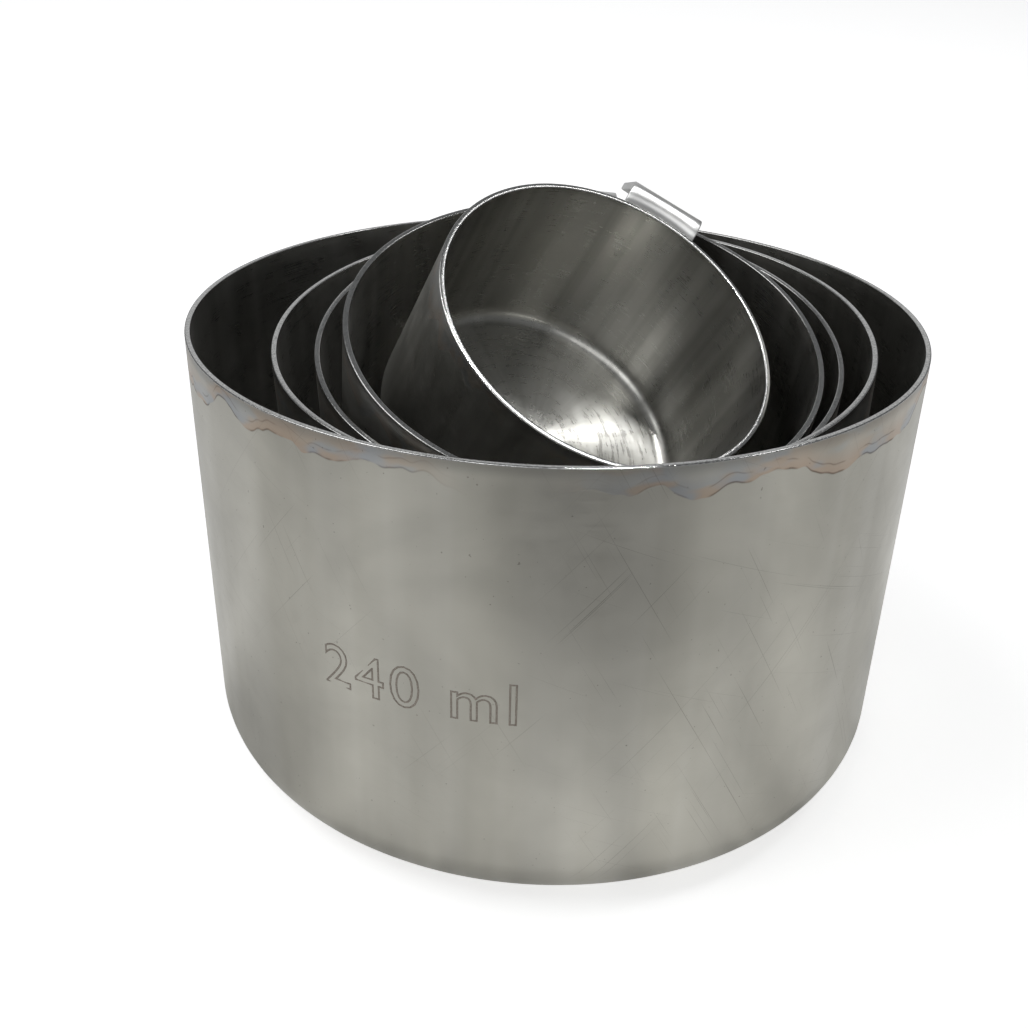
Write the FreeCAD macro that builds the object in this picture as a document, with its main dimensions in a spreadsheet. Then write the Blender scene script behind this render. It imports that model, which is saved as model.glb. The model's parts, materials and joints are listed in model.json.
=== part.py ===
import FreeCAD, Part
import math
import os

import Sketcher

# A nest of five drawn-steel measuring cups. Each cup is a thin bowl with a flat strip handle
# welded to the outside of its wall. The handle rises from the wall, bends over and runs
# outwards and down to a rounded end with a hanging hole.
# Frame: origin at the centre of the largest bowl's base, +Z up along that bowl's axis,
# the largest handle points along +Y. The smaller cups lean forwards inside the larger ones.

doc = FreeCAD.newDocument("measuring_cup_set")
sheet = doc.addObject("Spreadsheet::Sheet", "Sizes")

# Driving dimensions, in millimetres and degrees.
COMMON = {
    "wall": 0.6,             # bowl wall and floor
    "rim_round": 0.15,       # broken edge of the cut rim
    "strip_thick": 1.0,      # handle strip
    "strip_wide": 9.0,
    "bend_inside": 0.8,      # inside radius of the strip's bend
    "tab_deep": 9.0,         # how far the welded tab reaches below the rim
    "tip_round": 4.2,        # corners of the handle's end
    "hole_wide": 4.5,        # hanging hole
    "hole_inset": 7.0,       # from the handle's end to the hole's centre
}

# One row per cup, largest first:
#   radius, height, corner: outside of the bowl, and the round of its bottom edge
#   east, north, up:        centre of the bowl's base
#   lean, toward:           tilt of the bowl's axis, and the direction that it tilts to
#   swing:                  direction of the handle about the bowl's axis
#   droop:                  fall of the handle below the plane of its own rim
#   crest:                  top of the handle's bend above its own rim
#   reach:                  length of the handle past the bend
COLUMNS = ("radius", "height", "corner", "east", "north", "up", "lean", "toward",
           "swing", "droop", "crest", "reach")
CUPS = {
    "one_cup":     (40.0, 50.0, 6.0, 0.0, 0.0, 0.0, 0.0, 0.0, 90.0, 15.0, -1.0, 76.0),
    "half_cup":    (31.8, 39.8, 4.8, 2.7, -1.9, 10.2, 5.3, -107.6, 99.0, 20.0, 2.1, 68.0),
    "third_cup":   (27.9, 34.8, 4.2, 2.3, 0.4, 14.7, 11.3, -90.0, 82.5, 26.0, 1.1, 60.0),
    "quarter_cup": (25.1, 31.9, 3.8, 0.1, 0.5, 20.4, 17.6, -73.0, 91.0, 32.0, 0.4, 50.0),
    "eighth_cup":  (18.9, 22.6, 2.4, -2.5, 1.3, 33.4, 34.7, -51.0, 75.0, 37.0, 0.8, 36.0),
}


def fill_sheet():
    """Writes every driving dimension to the sheet as a named cell."""
    named = dict(COMMON)
    for cup, row in CUPS.items():
        for column, value in zip(COLUMNS, row):
            named[cup + "_" + column] = value
    for number, (alias, value) in enumerate(named.items(), start=1):
        sheet.set("A%d" % number, alias)
        sheet.set("B%d" % number, str(value))
        sheet.setAlias("B%d" % number, alias)
    doc.recompute()


def size(alias):
    return float(getattr(sheet, alias))


def plane(body, role):
    """One of a body's own origin planes."""
    return next(p for p in body.Origin.OriginFeatures if p.Role == role)


def new_body(name):
    body = doc.addObject("PartDesign::Body", name)
    body.Label = name
    return body


def new_sketch(body, name, role):
    sketch = body.newObject("Sketcher::SketchObject", name)
    sketch.AttachmentSupport = [(plane(body, role), "")]
    sketch.MapMode = "FlatFace"
    return sketch


def dimension(sketch, kind, where, alias, value):
    """Adds one dimension to a sketch and ties it to an expression of the sheet."""
    index = sketch.addConstraint(Sketcher.Constraint(kind, *where, value))
    sketch.setExpression("Constraints[%d]" % index, alias)


def point(x, y):
    return FreeCAD.Vector(x, y, 0)


def make_bowl(cup):
    """A drawn bowl: flat floor, rounded corner and straight wall, turned about the cup's axis."""
    radius, height = size(cup + "_radius"), size(cup + "_height")
    corner, wall = size(cup + "_corner"), size("wall")
    turn = radius - corner
    quarter = math.pi / 2

    body = new_body(cup + "_bowl")
    sketch = new_sketch(body, cup + "_bowl_section", "XZ_Plane")

    def arc(bend):
        circle = Part.Circle(point(turn, corner), FreeCAD.Vector(0, 0, 1), bend)
        return Part.ArcOfCircle(circle, -quarter, 0)

    def line(x1, y1, x2, y2):
        return Part.LineSegment(point(x1, y1), point(x2, y2))

    inner = radius - wall
    floor_under, corner_out, wall_out, rim, wall_in, corner_in, floor_top, axis = range(8)
    sketch.addGeometry([
        line(0, 0, turn, 0),
        arc(corner),
        line(radius, corner, radius, height),
        line(radius, height, inner, height),
        line(inner, height, inner, corner),
        arc(corner - wall),
        line(turn, wall, 0, wall),
        line(0, wall, 0, 0),
    ], False)
    for edge in (floor_under, rim, floor_top):
        sketch.addConstraint(Sketcher.Constraint("Horizontal", edge))
    for edge in (wall_out, wall_in, axis):
        sketch.addConstraint(Sketcher.Constraint("Vertical", edge))
    sketch.addConstraint(Sketcher.Constraint("Coincident", floor_under, 1, -1, 1))
    sketch.addConstraint(Sketcher.Constraint("Tangent", floor_under, 2, corner_out, 1))
    sketch.addConstraint(Sketcher.Constraint("Tangent", corner_out, 2, wall_out, 1))
    sketch.addConstraint(Sketcher.Constraint("Coincident", wall_out, 2, rim, 1))
    sketch.addConstraint(Sketcher.Constraint("Coincident", rim, 2, wall_in, 1))
    sketch.addConstraint(Sketcher.Constraint("Tangent", wall_in, 2, corner_in, 2))
    sketch.addConstraint(Sketcher.Constraint("Tangent", corner_in, 1, floor_top, 1))
    sketch.addConstraint(Sketcher.Constraint("Coincident", floor_top, 2, axis, 1))
    sketch.addConstraint(Sketcher.Constraint("Coincident", axis, 2, floor_under, 1))
    sheet_cup = "Sizes." + cup
    dimension(sketch, "DistanceX", (-1, 1, wall_out, 1), sheet_cup + "_radius", radius)
    dimension(sketch, "DistanceY", (-1, 1, wall_out, 2), sheet_cup + "_height", height)
    dimension(sketch, "Radius", (corner_out,), sheet_cup + "_corner", corner)
    dimension(sketch, "Radius", (corner_in,), sheet_cup + "_corner - Sizes.wall", corner - wall)
    dimension(sketch, "DistanceX", (rim, 2, rim, 1), "Sizes.wall", wall)

    shell = body.newObject("PartDesign::Revolution", cup + "_shell")
    shell.Profile = sketch
    shell.ReferenceAxis = (sketch, ["V_Axis"])
    shell.Angle = 360
    doc.recompute()

    rim_edges = [
        "Edge%d" % number
        for number, edge in enumerate(shell.Shape.Edges, start=1)
        if abs(edge.BoundBox.ZMin - height) < 1e-6 and abs(edge.BoundBox.ZMax - height) < 1e-6
    ]
    rim_soft = body.newObject("PartDesign::Fillet", cup + "_rim_edges")
    rim_soft.Base = (shell, rim_edges)
    rim_soft.setExpression("Radius", "Sizes.rim_round")
    body.Tip = rim_soft
    doc.recompute()
    return body


def short_edges(shape, length, test):
    """Names of the straight edges of a given length whose middle passes a test."""
    names = []
    for number, edge in enumerate(shape.Edges, start=1):
        straight = isinstance(edge.Curve, Part.Line)
        if straight and abs(edge.Length - length) < 0.05 and test(edge.CenterOfMass):
            names.append("Edge%d" % number)
    return names


def make_handle(cup):
    """A strip handle in the bowl's own frame, running out along local +X."""
    radius, height = size(cup + "_radius"), size(cup + "_height")
    thick, wide = size("strip_thick"), size("strip_wide")
    bend, deep = size("bend_inside"), size("tab_deep")
    droop = math.radians(size(cup + "_droop"))
    reach = size(cup + "_reach")

    # The bend's centre is outside the wall; its top is the crest.
    centre_x = radius + thick + bend
    centre_z = height + size(cup + "_crest") - bend - thick
    # The tab is deeper than the strip where it wraps the round wall.
    saddle = radius - math.sqrt(radius ** 2 - (wide / 2) ** 2)
    saddle_top = min(centre_z, height) - 0.2
    tab_foot = height - deep
    along = (math.cos(droop), -math.sin(droop))
    outward = (math.sin(droop), math.cos(droop))

    def on_bend(rad):
        return centre_x + rad * outward[0], centre_z + rad * outward[1]

    def past(start, distance):
        return start[0] + distance * along[0], start[1] + distance * along[1]

    top_start, under_start = on_bend(bend + thick), on_bend(bend)
    top_end, under_end = past(top_start, reach), past(under_start, reach)

    body = new_body(cup + "_handle")
    sketch = new_sketch(body, cup + "_strip_side", "XZ_Plane")
    wall_side = radius - saddle - 0.1
    outline = [
        (radius + thick, centre_z), (radius + thick, tab_foot), (wall_side, tab_foot),
        (wall_side, saddle_top), (radius, saddle_top), (radius, centre_z),
    ]
    for start, end in zip(outline, outline[1:]):
        sketch.addGeometry(Part.LineSegment(point(*start), point(*end)), False)

    def arc(rad):
        circle = Part.Circle(point(centre_x, centre_z), FreeCAD.Vector(0, 0, 1), rad)
        return Part.ArcOfCircle(circle, math.pi / 2 - droop, math.pi)

    outer_arc = sketch.addGeometry(arc(bend + thick), False)
    top = sketch.addGeometry(Part.LineSegment(point(*top_start), point(*top_end)), False)
    sketch.addGeometry(Part.LineSegment(point(*top_end), point(*under_end)), False)
    sketch.addGeometry(Part.LineSegment(point(*under_end), point(*under_start)), False)
    inner_arc = sketch.addGeometry(arc(bend), False)
    dimension(sketch, "Radius", (inner_arc,), "Sizes.bend_inside", bend)
    dimension(sketch, "Radius", (outer_arc,), "Sizes.bend_inside + Sizes.strip_thick",
              bend + thick)
    dimension(sketch, "Distance", (top,), "Sizes." + cup + "_reach", reach)

    strip = body.newObject("PartDesign::Pad", cup + "_strip")
    strip.Profile = sketch
    strip.Midplane = True
    strip.setExpression("Length", "Sizes.strip_wide")
    doc.recompute()

    # The tab's inner face takes the round of the bowl's wall.
    wall_round = new_sketch(body, cup + "_wall_round", "XY_Plane")
    circle = Part.Circle(point(0, 0), FreeCAD.Vector(0, 0, 1), radius)
    edge = wall_round.addGeometry(circle, False)
    wall_round.addConstraint(Sketcher.Constraint("Coincident", edge, 3, -1, 1))
    dimension(wall_round, "Radius", (edge,), "Sizes." + cup + "_radius", radius)
    fit = body.newObject("PartDesign::Pocket", cup + "_wall_fit")
    fit.Profile = wall_round
    fit.Type = "ThroughAll"
    fit.Reversed = True
    doc.recompute()

    # The hanging hole stands square to the drooping run.
    hole = new_sketch(body, cup + "_hole_round", "XY_Plane")
    place = past(top_start, reach - size("hole_inset"))
    tilt = FreeCAD.Rotation(FreeCAD.Vector(0, 1, 0), math.degrees(droop))
    hole.AttachmentOffset = FreeCAD.Placement(FreeCAD.Vector(place[0], 0, place[1]), tilt)
    edge = hole.addGeometry(
        Part.Circle(point(0, 0), FreeCAD.Vector(0, 0, 1), size("hole_wide") / 2), False)
    hole.addConstraint(Sketcher.Constraint("Coincident", edge, 3, -1, 1))
    dimension(hole, "Diameter", (edge,), "Sizes.hole_wide", size("hole_wide"))
    bore = body.newObject("PartDesign::Pocket", cup + "_hole")
    bore.Profile = hole
    bore.Midplane = True
    bore.setExpression("Length", "4 * Sizes.strip_thick")
    doc.recompute()

    tip = body.newObject("PartDesign::Fillet", cup + "_tip")
    tip.Base = (bore, short_edges(bore.Shape, thick, lambda p: p.x > top_end[0] - 2 * thick))
    tip.setExpression("Radius", "Sizes.tip_round")
    body.Tip = tip
    doc.recompute()
    return body, strip, fit, bore


def place_cup(cup, bowl, handle):
    """Leans a cup into the nest, and turns its handle about its own axis."""
    toward = math.radians(size(cup + "_toward"))
    lean_axis = FreeCAD.Vector(-math.sin(toward), math.cos(toward), 0)
    base = FreeCAD.Vector(size(cup + "_east"), size(cup + "_north"), size(cup + "_up"))
    seat = FreeCAD.Placement(base, FreeCAD.Rotation(lean_axis, size(cup + "_lean")))
    swing = FreeCAD.Rotation(FreeCAD.Vector(0, 0, 1), size(cup + "_swing"))
    bowl.Placement = seat
    handle.Placement = seat * FreeCAD.Placement(FreeCAD.Vector(), swing)
    for piece in (bowl, handle):
        for axis, column in (("x", "east"), ("y", "north"), ("z", "up")):
            piece.setExpression("Placement.Base." + axis, "Sizes.%s_%s" % (cup, column))


def export(pieces):
    """Checks every object of the document, then writes one file per piece."""
    doc.recompute()
    for item in doc.Objects:
        if "Invalid" in item.State or "Error" in item.State:
            raise RuntimeError("%s failed: %s" % (item.Name, item.State))
    os.makedirs("parts", exist_ok=True)
    for piece in pieces:
        shape = piece.Shape
        if shape.isNull() or not shape.isValid() or len(shape.Solids) != 1:
            raise RuntimeError("%s is not one valid solid" % piece.Label)
        shape.exportStep("parts/%s.step" % piece.Label)
        print(piece.Label, "volume %.1f mm3" % shape.Volume)


fill_sheet()
pieces = []
for cup in CUPS:
    bowl = make_bowl(cup)
    handle, strip, fit, bore = make_handle(cup)
    if not strip.Shape.Volume > fit.Shape.Volume > bore.Shape.Volume > handle.Shape.Volume:
        raise RuntimeError("a cut in %s removed nothing" % handle.Label)
    place_cup(cup, bowl, handle)
    pieces += [bowl, handle]
export(pieces)
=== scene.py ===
import json
import math

import bmesh
import bpy
from mathutils import Matrix, Vector


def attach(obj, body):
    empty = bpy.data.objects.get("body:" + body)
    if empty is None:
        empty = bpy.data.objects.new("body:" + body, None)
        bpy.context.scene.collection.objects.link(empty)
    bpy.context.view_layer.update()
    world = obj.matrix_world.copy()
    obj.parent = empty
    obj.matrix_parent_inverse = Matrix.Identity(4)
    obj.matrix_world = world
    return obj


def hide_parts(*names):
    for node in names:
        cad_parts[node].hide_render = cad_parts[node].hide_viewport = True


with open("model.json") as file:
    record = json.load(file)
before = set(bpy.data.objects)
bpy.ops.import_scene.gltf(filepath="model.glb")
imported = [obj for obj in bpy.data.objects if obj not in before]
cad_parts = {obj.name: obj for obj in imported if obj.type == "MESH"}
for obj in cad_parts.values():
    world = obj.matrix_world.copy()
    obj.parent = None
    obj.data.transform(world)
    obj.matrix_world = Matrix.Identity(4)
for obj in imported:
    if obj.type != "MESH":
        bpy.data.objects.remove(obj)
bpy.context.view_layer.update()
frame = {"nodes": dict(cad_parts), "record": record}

# ---------------------------------------------------------------- driving values (metres)
MM = 0.001
CUPS = list(frame["record"]["behaviour"]["bodies"])
MOUNTS = {mount["name"]: mount for mount in frame["record"]["mounts"]}
ROUND_STEPS = 288            # divisions round each bowl
CORNER_STEPS = 14            # divisions of each rounded bottom edge
RIM_STEPS = 4                # divisions of each broken edge of the rim
FLAT_SHARES = (0.02, 0.35, 0.7, 0.97)    # rings on a flat floor, as shares of its radius
WALL_SHARES = (0.1, 0.4, 0.7, 0.95)      # rings on a straight wall, as shares of its height
LAST_CORNER_ANGLE = -87      # degrees; the floor's first ring ends the inner bottom edge
FINISHES = ("wall", "rim", "floor")
RIM_ROUND = 0.12 * MM        # broken edges of the cut rim
BEND_INSIDE = 0.8 * MM       # inside radius of the handle strip's bend
TIP_ROUND = 4.2 * MM         # corners of the handle's end
TAB_ROUND = 2.0 * MM         # corners of the tab's foot
SOFT_EDGE = 0.14 * MM        # rounded edges of the handle strip
EDGE_STEPS = 3               # divisions of each soft edge
STRIP_COLUMNS = 16           # divisions across the strip
STRIP_CORNER_STEPS = 8       # divisions of each corner of the strip's outline
TAB_ROWS, BEND_ROWS, RUN_ROWS = 6, 18, 16    # divisions along each stretch of the strip
HOLE_SIDE_STEPS = 8          # divisions of the strip's sides beside the hole
HOLE_RINGS = 4               # rings of faces round the hole
BRUSH_TURN = 0.25            # quarter turn, from the tangent to the brushing
RELIEF = 0.004 * MM          # depth of the brushing

MARK_TEXT = "240 ml"
MARK_SIZE = 6.6 * MM
MARK_LINE = 0.1 * MM         # half the width of the mark's outline
MARK_HEIGHT = 23.4 * MM      # base line of the mark above the table
MARK_FACING = -109           # degrees; a little left of the front, which is at -90
MARK_RELIEF = 0.12           # the outline's depth is pressed down to this share
STAGE_SIZE = 6.0             # size of the floor and of the sheet level with it

CAMERA_ELEVATION = 28.42     # degrees above the horizon, looking along +Y
CAMERA_ROLL = 1.37
CAMERA_AIM = Vector((-4.1, 0.0, 24.0)) * MM
CAMERA_DISTANCE = 145.4 * MM
CAMERA_LENS = 42.0           # on a 36 mm sensor


# ---------------------------------------------------------------- node helpers
class Nodes:
    """Short calls for building one material's node tree."""

    def __init__(self, material):
        material.use_nodes = True
        self.tree = material.node_tree
        self.tree.nodes.clear()

    def add(self, kind, **settings):
        node = self.tree.nodes.new(kind)
        for key, value in settings.items():
            setattr(node, key, value)
        return node

    def link(self, source, target):
        self.tree.links.new(source, target)

    def put(self, socket, value):
        if isinstance(value, bpy.types.NodeSocket):
            self.link(value, socket)
        else:
            socket.default_value = value

    def math(self, operation, first, second=0.0, third=0.0, clamp=False):
        node = self.add("ShaderNodeMath", operation=operation, use_clamp=clamp)
        for socket, value in zip(node.inputs, (first, second, third)):
            self.put(socket, value)
        return node.outputs[0]

    def vector(self, x, y, z):
        node = self.add("ShaderNodeCombineXYZ")
        for socket, value in zip(node.inputs, (x, y, z)):
            self.put(socket, value)
        return node.outputs[0]

    def noise(self, vector, scale, detail=2.0, rough=0.5, distort=0.0):
        node = self.add("ShaderNodeTexNoise")
        self.link(vector, node.inputs["Vector"])
        node.inputs["Scale"].default_value = scale
        node.inputs["Detail"].default_value = detail
        node.inputs["Roughness"].default_value = rough
        node.inputs["Distortion"].default_value = distort
        return node.outputs["Fac"]

    def span(self, value, low, high, to_low=0.0, to_high=1.0):
        node = self.add("ShaderNodeMapRange", clamp=True)
        node.interpolation_type = "SMOOTHSTEP"
        self.put(node.inputs["Value"], value)
        for name, number in (("From Min", low), ("From Max", high),
                             ("To Min", to_low), ("To Max", to_high)):
            node.inputs[name].default_value = number
        return node.outputs["Result"]

    def mix(self, factor, first, second):
        node = self.add("ShaderNodeMix", data_type="RGBA")
        self.put(node.inputs[0], factor)
        self.put(node.inputs[6], first)
        self.put(node.inputs[7], second)
        return node.outputs[2]


def lathe_parts(nodes):
    """(cosine, sine, run): the direction round the axis and the length along the outline."""
    attribute = nodes.add("ShaderNodeAttribute", attribute_name="lathe")
    split = nodes.add("ShaderNodeSeparateXYZ")
    nodes.link(attribute.outputs["Vector"], split.inputs[0])
    return split.outputs


def rgb(red, green, blue):
    return (red, green, blue, 1.0)


# ---------------------------------------------------------------- materials
STEEL = (0.52, 0.506, 0.448)     # outside, warmed by handling
# Painted shade and less handling: the nested cups' steel is darker and less warm.
STEEL_SHELTERED_AND_SHADED = (0.38, 0.375, 0.35)
# Painted shade: the inside of each bowl is a darker copy of the steel.
INSIDE_SHADED = (0.47, 0.465, 0.438)


def steel_material(name, colour, worn, turned):
    """Brushed steel of a bowl, with haze, water marks and scratches; a turned floor has rings.
    Painted light too: reflection bands, shaded streaks inside, shade under the rim and a darker
    inside.
    """
    material = bpy.data.materials.new(name)
    nodes = Nodes(material)
    cosine, sine, run = lathe_parts(nodes)
    outside = nodes.add("ShaderNodeAttribute", attribute_name="outside").outputs["Fac"]
    upright = nodes.math("SUBTRACT", 0.0 if turned else 1.0, outside, clamp=True)
    below_rim = nodes.add("ShaderNodeAttribute", attribute_name="below_rim").outputs["Fac"]
    weathered = nodes.math("MULTIPLY", outside, worn)

    def wrapped(turns, length):
        """A vector that closes round the bowl: slow round the axis, quick along the outline."""
        return nodes.vector(nodes.math("MULTIPLY", cosine, turns),
                            nodes.math("MULTIPLY", sine, turns),
                            nodes.math("MULTIPLY", run, length))

    def helical(twist, turns, length):
        """The same, drawn out along a slanting line."""
        turned = nodes.add("ShaderNodeVectorRotate", rotation_type="Z_AXIS")
        nodes.link(nodes.vector(cosine, sine, 0.0), turned.inputs["Vector"])
        nodes.link(nodes.math("MULTIPLY", run, twist), turned.inputs["Angle"])
        split = nodes.add("ShaderNodeSeparateXYZ")
        nodes.link(turned.outputs[0], split.inputs[0])
        return nodes.vector(nodes.math("MULTIPLY", split.outputs[0], turns),
                            nodes.math("MULTIPLY", split.outputs[1], turns),
                            nodes.math("MULTIPLY", run, length))

    turning = nodes.noise(wrapped(5.0, 9000.0), 1.0, 3.0, 0.6)
    grain = nodes.noise(wrapped(60.0, 16000.0), 1.0, 2.0, 0.5)
    haze = nodes.noise(wrapped(2.2, 60.0), 1.0, 3.0, 0.55, 0.6)
    bands = nodes.noise(wrapped(9.0, 5.0), 1.0, 2.0, 0.5)
    streaks = nodes.noise(wrapped(9.0, 8.0), 1.0, 3.0, 0.5)
    blotch = nodes.noise(wrapped(9.0, 230.0), 1.0, 4.0, 0.6, 0.4)

    # Hairline scratches in three slants, gathered in patches, and a few pits.
    low = nodes.span(nodes.noise(wrapped(2.0, 40.0), 1.0, 1.0), 0.4, 0.6)
    marks = None
    for twist, turns, length, level in ((14.0, 420.0, 75.0, 0.785), (-22.0, 380.0, 60.0, 0.79),
                                        (60.0, 300.0, 120.0, 0.80)):
        hair = nodes.noise(helical(twist, turns, length), 1.0, 0.0)
        hair = nodes.span(hair, level, level + 0.05)
        marks = hair if marks is None else nodes.math("MAXIMUM", marks, hair)
    marks = nodes.math("MULTIPLY", marks, low)
    pits = nodes.span(nodes.noise(wrapped(130.0, 3300.0), 1.0, 0.0), 0.84, 0.87)
    marks = nodes.math("MULTIPLY", nodes.math("MAXIMUM", marks, pits), weathered, clamp=True)

    # A dried water line wanders below the rim, broken up, with heat tint above it.
    drift = nodes.span(nodes.noise(wrapped(4.0, 0.0), 1.0, 1.0), 0.36, 0.64, 1.5 * MM, 3.4 * MM)
    wiggle = nodes.noise(wrapped(9.0, 20.0), 1.0, 2.0, 0.4)
    depth = nodes.math("ADD", drift, nodes.span(wiggle, 0.3, 0.7, -0.6 * MM, 0.6 * MM))
    offset = nodes.math("SUBTRACT", below_rim, depth)
    line = nodes.span(nodes.math("ABSOLUTE", offset), 0.0, 0.17 * MM, 1.0, 0.0)
    ghost = nodes.math("ABSOLUTE", nodes.math("ADD", offset, 0.9 * MM))
    ghost = nodes.math("MULTIPLY", nodes.span(ghost, 0.0, 0.14 * MM, 1.0, 0.0), 0.6)
    above = nodes.span(offset, -2.6 * MM, 0.05 * MM, 0.25, 1.0)
    above = nodes.math("MULTIPLY", above, nodes.span(offset, 0.0, 0.1 * MM, 1.0, 0.0))
    broken = nodes.span(nodes.noise(wrapped(13.0, 0.0), 1.0, 2.0), 0.38, 0.56)
    sideways = nodes.math("ABSOLUTE", nodes.math("SUBTRACT", sine, 0.12))
    patch = nodes.math("MULTIPLY", nodes.span(sideways, 0.06, 0.34), weathered)
    line = nodes.math("MULTIPLY", nodes.math("MAXIMUM", line, ghost),
                      nodes.math("MULTIPLY", patch, broken))
    tint = nodes.math("MULTIPLY", above, patch)

    # The inside takes the darker copy of the steel, as painted shade.
    plain = nodes.mix(outside, rgb(*INSIDE_SHADED), rgb(*colour))
    dark = nodes.mix(nodes.span(haze, 0.3, 0.7, 0.16, 0.0), plain, rgb(0.0, 0.0, 0.0))
    # Painted reflection: lighter bands round the bowl, running along its outline.
    base = nodes.mix(nodes.span(bands, 0.35, 0.65, 0.0, 0.07), dark, rgb(1.0, 1.0, 0.98))
    # Painted shade: darker streaks along the inner walls, standing in for streaked reflections.
    streak = nodes.math("MULTIPLY", nodes.span(streaks, 0.36, 0.6, 0.26, 0.0), upright)
    base = nodes.mix(streak, base, rgb(0.22, 0.215, 0.20))
    # Painted shade: a dark band on the outside just under the rim.
    edge = nodes.math("MULTIPLY", nodes.span(below_rim, 0.2 * MM, 1.5 * MM, 0.4, 0.0), outside)
    base = nodes.mix(edge, base, rgb(0.12, 0.115, 0.11))
    tint_hue = nodes.noise(wrapped(7.0, 400.0), 1.0, 2.0)
    tint_colour = nodes.mix(nodes.span(tint_hue, 0.44, 0.58), rgb(0.46, 0.30, 0.20),
                            rgb(0.30, 0.34, 0.42))
    base = nodes.mix(nodes.math("MULTIPLY", tint, 0.5), base, tint_colour)
    base = nodes.mix(nodes.math("MULTIPLY", line, 0.5), base, rgb(0.13, 0.10, 0.08))
    base = nodes.mix(nodes.math("MULTIPLY", marks, 0.5), base, rgb(0.16, 0.14, 0.12))

    roughness = nodes.math("MULTIPLY_ADD", nodes.math("SUBTRACT", turning, 0.5), 0.16, 0.3)
    roughness = nodes.math("MULTIPLY_ADD", nodes.math("SUBTRACT", blotch, 0.5), 0.16, roughness)
    if turned:
        rings = nodes.noise(wrapped(2.5, 1500.0), 1.0, 2.0, 0.6)
        roughness = nodes.math("MULTIPLY_ADD", nodes.math("SUBTRACT", rings, 0.5), 0.3, roughness)
    roughness = nodes.math("MULTIPLY_ADD", weathered, 0.06, roughness)
    roughness = nodes.math("MULTIPLY_ADD", line, 0.25, roughness, clamp=True)

    relief = nodes.math("MULTIPLY_ADD", grain, 0.1, turning)
    relief = nodes.math("MULTIPLY_ADD", marks, -2.0, relief)
    bump = nodes.add("ShaderNodeBump")
    bump.inputs["Strength"].default_value = 0.09 if turned else 0.18
    bump.inputs["Distance"].default_value = RELIEF
    nodes.link(relief, bump.inputs["Height"])

    shader = nodes.add("ShaderNodeBsdfPrincipled")
    shader.inputs["Metallic"].default_value = 1.0
    shader.inputs["Anisotropic"].default_value = 0.85 if turned else 0.6
    shader.inputs["Anisotropic Rotation"].default_value = BRUSH_TURN
    tangent = nodes.add("ShaderNodeTangent", direction_type="UV_MAP", uv_map="UVMap")
    nodes.link(tangent.outputs[0], shader.inputs["Tangent"])
    nodes.link(base, shader.inputs["Base Color"])
    nodes.link(roughness, shader.inputs["Roughness"])
    nodes.link(bump.outputs[0], shader.inputs["Normal"])
    output = nodes.add("ShaderNodeOutputMaterial")
    nodes.link(shader.outputs[0], output.inputs[0])
    return material


def rim_material():
    """The cut edge of the sheet: bright, with fine sparkle along it."""
    material = bpy.data.materials.new("cut_rim")
    nodes = Nodes(material)
    cosine, sine, run = lathe_parts(nodes)
    spot = nodes.vector(nodes.math("MULTIPLY", cosine, 240.0),
                        nodes.math("MULTIPLY", sine, 240.0),
                        nodes.math("MULTIPLY", run, 5000.0))
    sparkle = nodes.noise(spot, 1.0, 2.0, 0.7)
    slow = nodes.noise(nodes.vector(nodes.math("MULTIPLY", cosine, 9.0),
                                    nodes.math("MULTIPLY", sine, 9.0), 0.0), 1.0, 2.0)
    base = nodes.mix(nodes.span(sparkle, 0.34, 0.62),
                     rgb(0.30, 0.30, 0.295), rgb(0.60, 0.60, 0.59))
    roughness = nodes.math("MULTIPLY_ADD", slow, 0.10, 0.06)
    bump = nodes.add("ShaderNodeBump")
    bump.inputs["Strength"].default_value = 0.5
    bump.inputs["Distance"].default_value = 0.02 * MM
    nodes.link(sparkle, bump.inputs["Height"])
    shader = nodes.add("ShaderNodeBsdfPrincipled")
    shader.inputs["Metallic"].default_value = 1.0
    nodes.link(base, shader.inputs["Base Color"])
    nodes.link(roughness, shader.inputs["Roughness"])
    nodes.link(bump.outputs[0], shader.inputs["Normal"])
    output = nodes.add("ShaderNodeOutputMaterial")
    nodes.link(shader.outputs[0], output.inputs[0])
    return material


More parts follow.
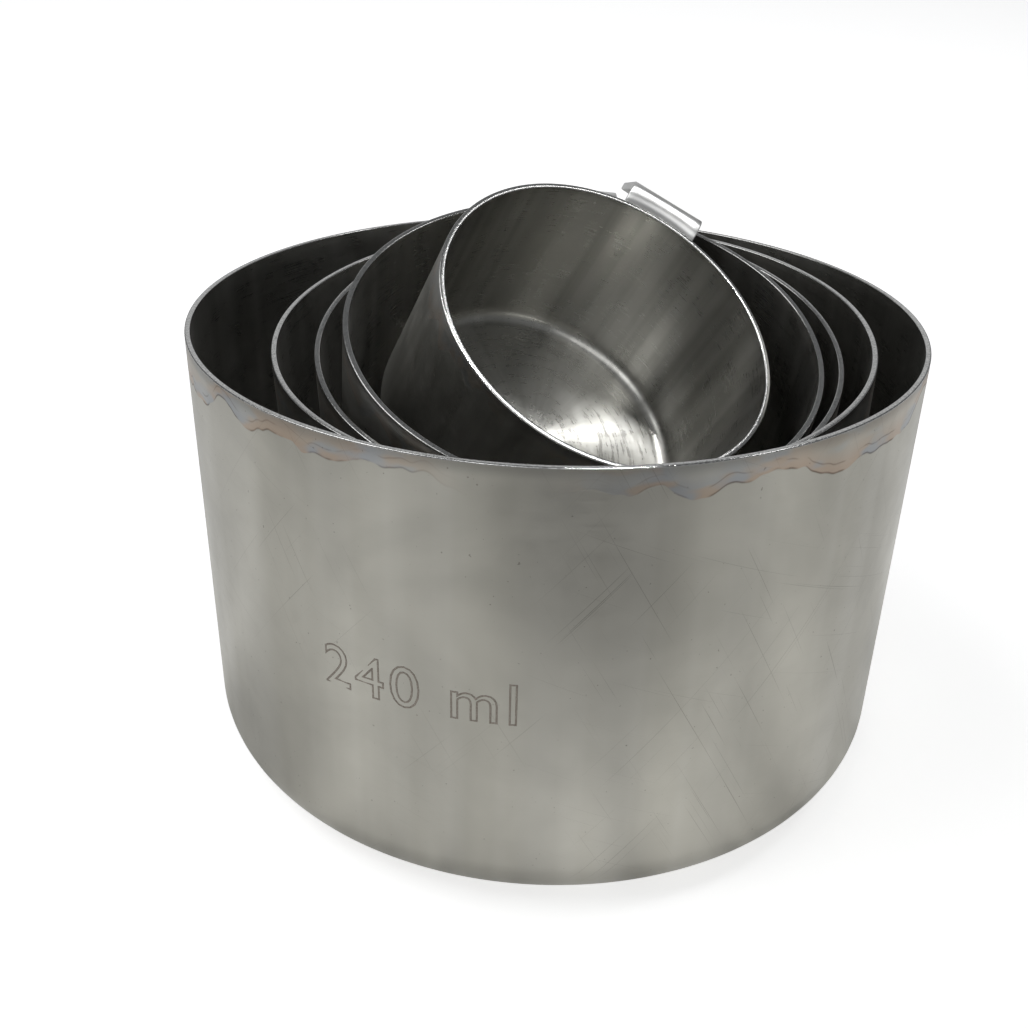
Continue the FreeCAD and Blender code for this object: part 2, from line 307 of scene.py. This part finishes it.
def strip_material():
    """The handle strip: brushed along its length, polished smoother than the bowls."""
    material = bpy.data.materials.new("handle_strip")
    nodes = Nodes(material)
    uv = nodes.add("ShaderNodeUVMap", uv_map="UVMap")
    split = nodes.add("ShaderNodeSeparateXYZ")
    nodes.link(uv.outputs[0], split.inputs[0])
    along, across = split.outputs[0], split.outputs[1]

    def stretched(length, width):
        return nodes.vector(nodes.math("MULTIPLY", along, length),
                            nodes.math("MULTIPLY", across, width), 0.0)

    brush = nodes.noise(stretched(120.0, 9000.0), 1.0, 3.0, 0.6)
    haze = nodes.noise(stretched(90.0, 160.0), 1.0, 3.0, 0.6)
    wander = nodes.noise(stretched(160.0, 300.0), 1.0, 1.0, 0.4, 0.6)
    hair = nodes.span(nodes.math("ABSOLUTE", nodes.math("SUBTRACT", wander, 0.5)),
                      0.0, 0.004, 1.0, 0.0)
    breaks = nodes.span(nodes.noise(stretched(300.0, 400.0), 1.0, 2.0), 0.5, 0.6)
    scratch = nodes.math("MULTIPLY", hair, breaks)
    base = nodes.mix(nodes.span(haze, 0.3, 0.7), rgb(0.66, 0.66, 0.65), rgb(0.76, 0.76, 0.75))
    base = nodes.mix(nodes.math("MULTIPLY", scratch, 0.35), base, rgb(0.3, 0.29, 0.28))
    roughness = nodes.math("MULTIPLY_ADD", nodes.math("SUBTRACT", brush, 0.5), 0.14, 0.34)
    roughness = nodes.math("MULTIPLY_ADD", nodes.math("SUBTRACT", haze, 0.5), 0.12, roughness)
    bump = nodes.add("ShaderNodeBump")
    bump.inputs["Strength"].default_value = 0.3
    bump.inputs["Distance"].default_value = RELIEF
    nodes.link(nodes.math("MULTIPLY_ADD", scratch, -1.5, brush), bump.inputs["Height"])
    shader = nodes.add("ShaderNodeBsdfPrincipled")
    shader.inputs["Metallic"].default_value = 1.0
    shader.inputs["Anisotropic"].default_value = 0.4
    shader.inputs["Anisotropic Rotation"].default_value = BRUSH_TURN
    tangent = nodes.add("ShaderNodeTangent", direction_type="UV_MAP", uv_map="UVMap")
    nodes.link(tangent.outputs[0], shader.inputs["Tangent"])
    nodes.link(base, shader.inputs["Base Color"])
    nodes.link(roughness, shader.inputs["Roughness"])
    nodes.link(bump.outputs[0], shader.inputs["Normal"])
    output = nodes.add("ShaderNodeOutputMaterial")
    nodes.link(shader.outputs[0], output.inputs[0])
    return material


def etched_material():
    """The etched volume mark: matt and brownish."""
    material = bpy.data.materials.new("etched_mark")
    nodes = Nodes(material)
    place = nodes.add("ShaderNodeTexCoord").outputs["Object"]
    speckle = nodes.noise(place, 9000.0, 2.0, 0.6)
    base = nodes.mix(nodes.span(speckle, 0.3, 0.7), rgb(0.20, 0.17, 0.14), rgb(0.36, 0.33, 0.29))
    shader = nodes.add("ShaderNodeBsdfPrincipled")
    shader.inputs["Metallic"].default_value = 0.7
    nodes.link(base, shader.inputs["Base Color"])
    nodes.link(nodes.math("MULTIPLY_ADD", speckle, 0.2, 0.5), shader.inputs["Roughness"])
    output = nodes.add("ShaderNodeOutputMaterial")
    nodes.link(shader.outputs[0], output.inputs[0])
    return material


# ---------------------------------------------------------------- measures of the CAD cups
def measure_bowl(cup):
    """A bowl's seat and sizes, read from its CAD mesh. The seat's X points to the handle."""
    node = frame["nodes"][cup + "_bowl"]
    mesh = node.data
    area = {}
    for face in mesh.polygons:
        key = tuple(round(c, 3) for c in face.normal)
        area.setdefault(key, [0.0, Vector()])
        area[key][0] += face.area
        area[key][1] += face.normal * face.area
    axis = max(area.values(), key=lambda entry: entry[0])[1].normalized()
    if axis.z < 0:
        axis = -axis
    points = [v.co.copy() for v in mesh.vertices]
    handle = frame["nodes"][cup + "_handle"].data.vertices
    grip = sum((v.co for v in handle), Vector()) / len(handle)
    low = min(p.dot(axis) for p in points)
    height = max(p.dot(axis) for p in points) - low

    side = axis.orthogonal().normalized()
    other = axis.cross(side)

    def middle(direction):
        along = [p.dot(direction) for p in points]
        return (min(along) + max(along)) / 2, (max(along) - min(along)) / 2

    (mid_side, radius), (mid_other, _) = middle(side), middle(other)
    base = side * mid_side + other * mid_other + axis * low
    toward = grip - base
    toward = (toward - axis * toward.dot(axis)).normalized()
    seat = Matrix((toward, axis.cross(toward), axis)).transposed().to_4x4()
    seat.translation = base
    back = seat.inverted()
    local = [back @ p for p in points]

    def reach(point):
        return math.hypot(point.x, point.y)

    inner = min(reach(p) for p in local if p.z > height - 2 * MM)
    flat = max(reach(p) for p in local if p.z < 0.01 * MM)
    return {"seat": seat, "radius": radius, "height": height,
            "wall": radius - inner, "corner": radius - flat}


# ---------------------------------------------------------------- bowls
def bowl_outline(size):
    """(radius, height, run, outside, part) points, from the underside over the rim to the floor."""
    radius, height, wall, corner = (size[k] for k in ("radius", "height", "wall", "corner"))
    turn = radius - corner
    points = []

    def add(r, z, outside, part):
        if points:
            last = points[-1]
            run = last[2] + math.hypot(r - last[0], z - last[1])
        else:
            run = 0.0
        points.append((r, z, run, outside, part))

    def quarter(centre, bend, start, stop, steps, outside, part):
        for step in range(steps + 1):
            angle = math.radians(start + (stop - start) * step / steps)
            add(centre[0] + bend * math.cos(angle), centre[1] + bend * math.sin(angle),
                outside, part)

    for share in FLAT_SHARES:
        add(turn * share, 0.0, 1.0, "wall")
    quarter((turn, corner), corner, -90, 0, CORNER_STEPS, 1.0, "wall")
    straight = height - RIM_ROUND - corner
    for share in WALL_SHARES:
        add(radius, corner + straight * share, 1.0, "wall")
    quarter((radius - RIM_ROUND, height - RIM_ROUND), RIM_ROUND, 0, 90, RIM_STEPS, 1.0, "rim")
    inner = radius - wall
    quarter((inner + RIM_ROUND, height - RIM_ROUND), RIM_ROUND, 90, 180, RIM_STEPS, 0.0, "rim")
    for share in reversed(WALL_SHARES):
        add(inner, corner + straight * share, 0.0, "wall")
    quarter((turn, corner), corner - wall, 0, LAST_CORNER_ANGLE, CORNER_STEPS, 0.0, "wall")
    for share in (1.0,) + FLAT_SHARES[::-1]:
        add(turn * share, wall, 0.0, "floor")
    return points


def build_bowl(cup, size, materials):
    """Turns the outline about the seat's axis and keeps its direction, run and UV on the mesh."""
    outline = bowl_outline(size)
    bm = bmesh.new()
    rings = []
    for r, z, _, _, _ in outline:
        ring = []
        for step in range(ROUND_STEPS):
            angle = 2 * math.pi * step / ROUND_STEPS
            ring.append(bm.verts.new((r * math.cos(angle), r * math.sin(angle), z)))
        rings.append(ring)
    uv = bm.loops.layers.uv.new("UVMap")
    for number, (first, second) in enumerate(zip(rings, rings[1:])):
        part = outline[number + 1][4]
        for step in range(ROUND_STEPS):
            after = (step + 1) % ROUND_STEPS
            face = bm.faces.new((first[step], first[after], second[after], second[step]))
            face.smooth = True
            same = part == outline[number][4]
            face.material_index = FINISHES.index(part if same else "wall")
            corners = ((step, number), (step + 1, number),
                       (step + 1, number + 1), (step, number + 1))
            for loop, (turn, row) in zip(face.loops, corners):
                loop[uv].uv = (turn / ROUND_STEPS, outline[row][2] / (2 * size["height"]))
    underside = bm.faces.new(reversed(rings[0]))
    underside.smooth = True
    floor = bm.faces.new(rings[-1])
    floor.smooth = True
    floor.material_index = FINISHES.index("floor")
    bmesh.ops.recalc_face_normals(bm, faces=bm.faces)
    mesh = bpy.data.meshes.new(cup + "_bowl_drawn")
    bm.to_mesh(mesh)
    bm.free()

    kinds = {"lathe": "FLOAT_VECTOR", "outside": "FLOAT", "below_rim": "FLOAT"}
    for name, kind in kinds.items():
        mesh.attributes.new(name, kind, "POINT")
    lathe, outside, below = (mesh.attributes[name].data for name in kinds)
    index = 0
    for r, z, run, side, _ in outline:
        for step in range(ROUND_STEPS):
            angle = 2 * math.pi * step / ROUND_STEPS
            lathe[index].vector = (math.cos(angle), math.sin(angle), run)
            outside[index].value = side
            below[index].value = size["height"] - z
            index += 1
    mesh.transform(size["seat"])
    for finish in FINISHES:
        mesh.materials.append(materials[finish])
    piece = bpy.data.objects.new(cup + "_bowl_drawn", mesh)
    bpy.context.scene.collection.objects.link(piece)
    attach(piece, cup)
    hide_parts(cup + "_bowl")


# ---------------------------------------------------------------- handles
def strip_route(cup, size):
    """The strip's middle line in the seat's XZ plane, by the length from the tab's foot."""
    back = size["seat"].inverted()
    hole = MOUNTS[cup + "_hang_hole"]
    spot = back @ Vector(hole["pos_m"])
    thick = hole["dims"]["length_mm"] * MM
    square = back.to_3x3() @ Vector(hole["axis"])
    droop = math.atan2(square.x, square.z)
    along = Vector((math.cos(droop), 0, -math.sin(droop)))
    outward = Vector((math.sin(droop), 0, math.cos(droop)))
    local = [back @ v.co for v in frame["nodes"][cup + "_handle"].data.vertices]

    bend = BEND_INSIDE + thick / 2
    centre = Vector((size["radius"] + thick + BEND_INSIDE, 0, 0))
    centre.z = (spot.dot(outward) - bend - centre.x * outward.x) / outward.z
    foot = min(p.z for p in local if p.x < size["radius"] + 1.5 * thick)
    tip = max(p.dot(along) for p in local)
    rise = centre.z - foot
    sweep = math.pi / 2 + droop
    curve = bend * sweep
    run = tip - (centre + outward * bend).dot(along)

    def at(length):
        """(point, square-out direction) of the middle line."""
        if length <= rise:
            return Vector((size["radius"] + thick / 2, 0, foot + length)), Vector((-1, 0, 0))
        if length <= rise + curve:
            angle = math.pi - (length - rise) / bend
            out = Vector((math.cos(angle), 0, math.sin(angle)))
            return centre + out * bend, out
        past = length - rise - curve
        return centre + outward * bend + along * past, outward

    half = max(abs(p.y) for p in local)
    hole_at = rise + curve + (spot - centre - outward * bend).dot(along)
    return {"at": at, "thick": thick, "half": half, "total": rise + curve + run, "rise": rise,
            "curve": curve, "hole_at": hole_at, "hole_r": hole["dims"]["r_mm"] * MM}


def strip_half_width(route, length):
    """Half the width of the strip's flat part at a length from the tab's foot."""
    half = route["half"] - SOFT_EDGE
    for past, corner in ((length, TAB_ROUND), (route["total"] - length, TIP_ROUND)):
        if past < corner:
            bend = corner - SOFT_EDGE
            return half - bend + math.sqrt(max(0.0, bend ** 2 - (corner - past) ** 2))
    return half


def strip_sheet(route):
    """The strip laid flat, without its soft edges: points, quads and the hole's own ring."""
    points, quads = [], []
    hole_at, hole_r = route["hole_at"], route["hole_r"] + SOFT_EDGE
    total, rise, curve = route["total"], route["rise"], route["curve"]

    def add(length, width):
        points.append((length, width))
        return len(points) - 1

    def join(first, second):
        for k in range(len(first) - 1):
            quads.append((first[k], second[k], second[k + 1], first[k + 1]))

    def spaced(start, end, steps):
        return [start + (end - start) * k / steps for k in range(1, steps + 1)]

    def corner(bend):
        """Distances from an end that divide its rounded corners evenly."""
        return [bend - (bend - SOFT_EDGE) * math.cos(math.pi / 2 * k / STRIP_CORNER_STEPS)
                for k in range(STRIP_CORNER_STEPS + 1)]

    def rows(lengths):
        made = []
        for length in lengths:
            half = strip_half_width(route, length)
            made.append([add(length, half * (2 * k / STRIP_COLUMNS - 1))
                         for k in range(STRIP_COLUMNS + 1)])
        for before, after in zip(made, made[1:]):
            join(before, after)
        return made

    tip_starts = total - TIP_ROUND
    hole_starts = 2 * hole_at - tip_starts
    near = rows(corner(TAB_ROUND) + spaced(TAB_ROUND, rise, TAB_ROWS)
                + spaced(rise, rise + curve, BEND_ROWS)
                + spaced(rise + curve, hole_starts, RUN_ROWS))[-1]
    far = rows([total - past for past in reversed(corner(TIP_ROUND))])[0]

    # Rings that lead from the strip's rows and sides in to the hole.
    half = route["half"] - SOFT_EDGE
    up = [add(length, half)
          for length in spaced(tip_starts, hole_starts, HOLE_SIDE_STEPS)[:-1]]
    down = [add(length, -half)
            for length in spaced(hole_starts, tip_starts, HOLE_SIDE_STEPS)[:-1]]
    outer = far + up + near[::-1] + down
    ring = outer
    for share in spaced(0.0, 1.0, HOLE_RINGS):
        inner = []
        for length, width in [points[k] for k in outer]:
            angle = math.atan2(width, length - hole_at)
            inner.append(add(length + (hole_at + hole_r * math.cos(angle) - length) * share,
                             width + (hole_r * math.sin(angle) - width) * share))
        join(ring + ring[:1], inner + inner[:1])
        ring = inner
    return points, quads, set(ring)


def strip_outward(route, length, width):
    """The direction, in the flat, out of the strip at a point of its outline."""
    corner = TIP_ROUND if length > route["total"] / 2 else TAB_ROUND
    core = route["half"] - corner
    off_length = length - min(max(length, TAB_ROUND), route["total"] - TIP_ROUND)
    off_width = width - min(max(width, -core), core)
    far = math.hypot(off_length, off_width)
    return off_length / far, off_width / far


def build_handle(cup, size, material):
    """Bends a flat strip with soft edges up the wall, over and out."""
    route = strip_route(cup, size)
    points, quads, hole_ring = strip_sheet(route)
    bm = bmesh.new()
    uv = bm.loops.layers.uv.new("UVMap")
    flat = {}

    def vert(length, width, level):
        point, out = route["at"](length)
        # The tab follows the round of the wall and flattens out through the bend.
        hug = min(1.0, max(0.0, 1 - (length - route["rise"]) / route["curve"]))
        sag = size["radius"] - math.sqrt(size["radius"] ** 2 - width ** 2)
        made = bm.verts.new(point + out * level + Vector((-sag * hug, width, 0)))
        flat[made] = (length, width)
        return made

    half_thick = route["thick"] / 2
    sides = [[vert(length, width, level) for length, width in points]
             for level in (half_thick, -half_thick)]
    for side in sides:
        for quad in quads:
            bm.faces.new([side[k] for k in quad])

    uses = {}
    for quad in quads:
        for pair in zip(quad, quad[1:] + quad[:1]):
            uses.setdefault(frozenset(pair), []).append(pair)
    border = [pairs[0] for pairs in uses.values() if len(pairs) == 1]

    def soft(k):
        """The vertices round the soft edges, from one side of the strip to the other."""
        length, width = points[k]
        if k in hole_ring:
            out = Vector((route["hole_at"] - length, -width)).normalized()
        else:
            out = Vector(strip_outward(route, length, width))
        chain = []
        for sign in (1, -1):
            part = []
            for step in range(1, EDGE_STEPS + 1):
                angle = math.pi / 2 * step / EDGE_STEPS
                push = SOFT_EDGE * math.sin(angle)
                level = half_thick - SOFT_EDGE * (1 - math.cos(angle))
                part.append(vert(length + out.x * push, width + out.y * push, sign * level))
            chain += part if sign > 0 else part[::-1]
        return [sides[0][k]] + chain + [sides[1][k]]

    chains = {k: soft(k) for k in sorted({k for pair in border for k in pair})}
    for a, b in border:
        for step in range(len(chains[a]) - 1):
            bm.faces.new((chains[a][step], chains[b][step],
                          chains[b][step + 1], chains[a][step + 1]))
    for face in bm.faces:
        face.smooth = True
        for loop in face.loops:
            loop[uv].uv = flat[loop.vert]
    bmesh.ops.recalc_face_normals(bm, faces=bm.faces)
    mesh = bpy.data.meshes.new(cup + "_handle_strip")
    bm.to_mesh(mesh)
    bm.free()
    mesh.transform(size["seat"])
    mesh.materials.append(material)
    piece = bpy.data.objects.new(cup + "_handle_strip", mesh)
    bpy.context.scene.collection.objects.link(piece)
    # Large faces decide the shading, so the flats stay flat right up to the soft edges.
    even = piece.modifiers.new("even_shading", "WEIGHTED_NORMAL")
    even.mode = "FACE_AREA"
    even.weight = 100
    even.keep_sharp = False
    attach(piece, cup)
    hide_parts(cup + "_handle")


# ---------------------------------------------------------------- the etched mark
def build_mark(size, material):
    """A plain volume mark in outline, wrapped on the front of the largest bowl."""
    text = bpy.data.curves.new("volume_mark", "FONT")
    text.body = MARK_TEXT
    text.size = MARK_SIZE
    text.space_character = 1.12
    text.fill_mode = "NONE"
    text.bevel_depth = MARK_LINE
    text.bevel_resolution = 1
    text.resolution_u = 4
    writing = bpy.data.objects.new("volume_mark_flat", text)
    bpy.context.scene.collection.objects.link(writing)
    bpy.context.view_layer.update()
    mesh = bpy.data.meshes.new_from_object(writing.evaluated_get(
        bpy.context.evaluated_depsgraph_get()))
    bpy.data.objects.remove(writing)
    middle = (min(v.co.x for v in mesh.vertices) + max(v.co.x for v in mesh.vertices)) / 2
    facing = math.radians(MARK_FACING)
    for vert in mesh.vertices:
        angle = facing + (vert.co.x - middle) / size["radius"]
        reach = size["radius"] + vert.co.z * MARK_RELIEF
        vert.co = (reach * math.cos(angle), reach * math.sin(angle), MARK_HEIGHT + vert.co.y)
    mesh.materials.clear()
    mesh.materials.append(material)
    piece = bpy.data.objects.new("volume_mark", mesh)
    bpy.context.scene.collection.objects.link(piece)
    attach(piece, "one_cup")


# ---------------------------------------------------------------- stage
def build_floor():
    mesh = bpy.data.meshes.new("floor")
    bm = bmesh.new()
    bmesh.ops.create_grid(bm, x_segments=1, y_segments=1, size=STAGE_SIZE)
    bm.to_mesh(mesh)
    bm.free()
    floor = bpy.data.objects.new("floor", mesh)
    floor.location.z = -0.02 * MM
    bpy.context.scene.collection.objects.link(floor)
    material = bpy.data.materials.new("pale_floor")
    nodes = Nodes(material)
    shader = nodes.add("ShaderNodeBsdfPrincipled")
    shader.inputs["Base Color"].default_value = rgb(0.82, 0.82, 0.82)
    shader.inputs["Roughness"].default_value = 0.9
    shader.inputs["Emission Color"].default_value = rgb(1.0, 1.0, 1.0)
    shader.inputs["Emission Strength"].default_value = 0.62
    output = nodes.add("ShaderNodeOutputMaterial")
    nodes.link(shader.outputs[0], output.inputs[0])
    mesh.materials.append(material)


def build_painted_shade_card():
    """Painted shade that only the steel sees, on a sheet level with the floor: greys with soft
    bands, darker near the lens, with painted shadows at the sides and round the foot.
    """
    mesh = bpy.data.meshes.new("painted_shade_card")
    bm = bmesh.new()
    bmesh.ops.create_grid(bm, x_segments=1, y_segments=1, size=STAGE_SIZE)
    bm.to_mesh(mesh)
    bm.free()
    card = bpy.data.objects.new("painted_shade_card", mesh)
    card.location.z = 0.3 * MM
    bpy.context.scene.collection.objects.link(card)
    material = bpy.data.materials.new("painted_shade_card")
    nodes = Nodes(material)
    place = nodes.add("ShaderNodeTexCoord").outputs["Object"]

    def distance(centre):
        gap = nodes.add("ShaderNodeVectorMath", operation="DISTANCE")
        nodes.link(place, gap.inputs[0])
        gap.inputs[1].default_value = centre
        return gap.outputs["Value"]

    away = distance((0.0, 0.0, 0.0))
    level = nodes.math("ADD", nodes.span(away, 0.045, 0.12, 0.24, 0.43),
                       nodes.span(away, 0.12, 0.40, 0.0, 0.13))
    direction = nodes.add("ShaderNodeVectorMath", operation="NORMALIZE")
    nodes.link(place, direction.inputs[0])
    band = nodes.noise(direction.outputs[0], 5.0, 2.0, 0.5)
    level = nodes.math("ADD", level, nodes.span(band, 0.35, 0.65, -0.10, 0.10))
    lens_shade = nodes.span(distance((0.026, -0.150, 0.0)), 0.050, 0.108, 0.92, 0.0)
    left_shade = nodes.span(distance((-0.043, -0.020, 0.0)), 0.008, 0.034, 0.62, 0.0)
    right_shade = nodes.span(distance((0.062, -0.004, 0.0)), 0.012, 0.040, 0.40, 0.0)
    sides = nodes.math("MAXIMUM", left_shade, right_shade)
    # Painted contact shadow in a ring round the foot of the bowls.
    level = nodes.math("ADD", level, nodes.span(away, 0.041, 0.051, 0.34, 0.0))
    cover = nodes.math("MAXIMUM", level, nodes.math("MAXIMUM", lens_shade, sides))
    clear = nodes.add("ShaderNodeBsdfTransparent")
    black = nodes.add("ShaderNodeBsdfDiffuse")
    black.inputs[0].default_value = rgb(0.05, 0.05, 0.05)
    mixed = nodes.add("ShaderNodeMixShader")
    nodes.link(cover, mixed.inputs[0])
    nodes.link(clear.outputs[0], mixed.inputs[1])
    nodes.link(black.outputs[0], mixed.inputs[2])
    output = nodes.add("ShaderNodeOutputMaterial")
    nodes.link(mixed.outputs[0], output.inputs[0])
    mesh.materials.append(material)
    card.visible_camera = False
    card.visible_shadow = False
    card.visible_diffuse = False


def add_light(name, place, size, power, steel_only=False):
    """A rectangular lamp that faces the cups."""
    light = bpy.data.lights.new(name, "AREA")
    light.shape = "RECTANGLE"
    light.size, light.size_y = size
    light.energy = power
    lamp = bpy.data.objects.new(name, light)
    lamp.location = place
    toward = Vector((0, 0, 0.04)) - lamp.location
    lamp.rotation_euler = toward.to_track_quat("-Z", "Y").to_euler()
    lamp.visible_camera = False
    lamp.visible_diffuse = not steel_only
    bpy.context.scene.collection.objects.link(lamp)


def build_world():
    world = bpy.data.worlds.new("studio")
    bpy.context.scene.world = world
    world.use_nodes = True
    tree = world.node_tree
    tree.nodes.clear()
    background = tree.nodes.new("ShaderNodeBackground")
    background.inputs[0].default_value = rgb(0.96, 0.98, 1.0)
    background.inputs[1].default_value = 0.2
    output = tree.nodes.new("ShaderNodeOutputWorld")
    tree.links.new(background.outputs[0], output.inputs[0])


def build_camera():
    camera = bpy.data.objects.new("camera", bpy.data.cameras.new("camera"))
    camera.data.lens = CAMERA_LENS
    camera.data.sensor_width = 36.0
    camera.data.clip_start = 0.005
    tilt = Matrix.Rotation(math.radians(90 - CAMERA_ELEVATION), 4, "X")
    roll = Matrix.Rotation(math.radians(CAMERA_ROLL), 4, "Z")
    turn = tilt @ roll
    back = turn.to_3x3() @ Vector((0, 0, 1))
    camera.matrix_world = Matrix.Translation(CAMERA_AIM + back * CAMERA_DISTANCE) @ turn
    bpy.context.scene.collection.objects.link(camera)
    bpy.context.scene.camera = camera


# ---------------------------------------------------------------- assembly
rim = rim_material()
strip = strip_material()
for cup in CUPS:
    size = measure_bowl(cup)
    largest = cup == CUPS[0]
    # The nested cups take the steel darkened as painted shade, and less wear.
    colour, worn = (STEEL, 1.0) if largest else (STEEL_SHELTERED_AND_SHADED, 0.4)
    build_bowl(cup, size, {"wall": steel_material(cup + "_steel", colour, worn, False),
                           "floor": steel_material(cup + "_floor", colour, worn, True),
                           "rim": rim})
    build_handle(cup, size, strip)
    if largest:
        build_mark(size, etched_material())

build_floor()
build_painted_shade_card()
build_world()
add_light("window", (0.53, 0.19, 0.85), (0.22, 0.16), 0.9)
add_light("skylight", (0.17, -0.05, 1.0), (0.12, 0.12), 8.0, steel_only=True)
add_light("ceiling", (-0.68, 0.0, 0.95), (0.9, 0.7), 4.8)
add_light("room", (0.0, -0.95, 0.75), (1.0, 0.5), 2.0)
add_light("doorway", (-0.40, -0.88, 0.95), (0.30, 0.30), 1.0, steel_only=True)
add_light("back_wall", (0.0, 1.2, 0.60), (1.2, 0.6), 1.0)
build_camera()
bpy.context.scene.view_settings.view_transform = "Standard"
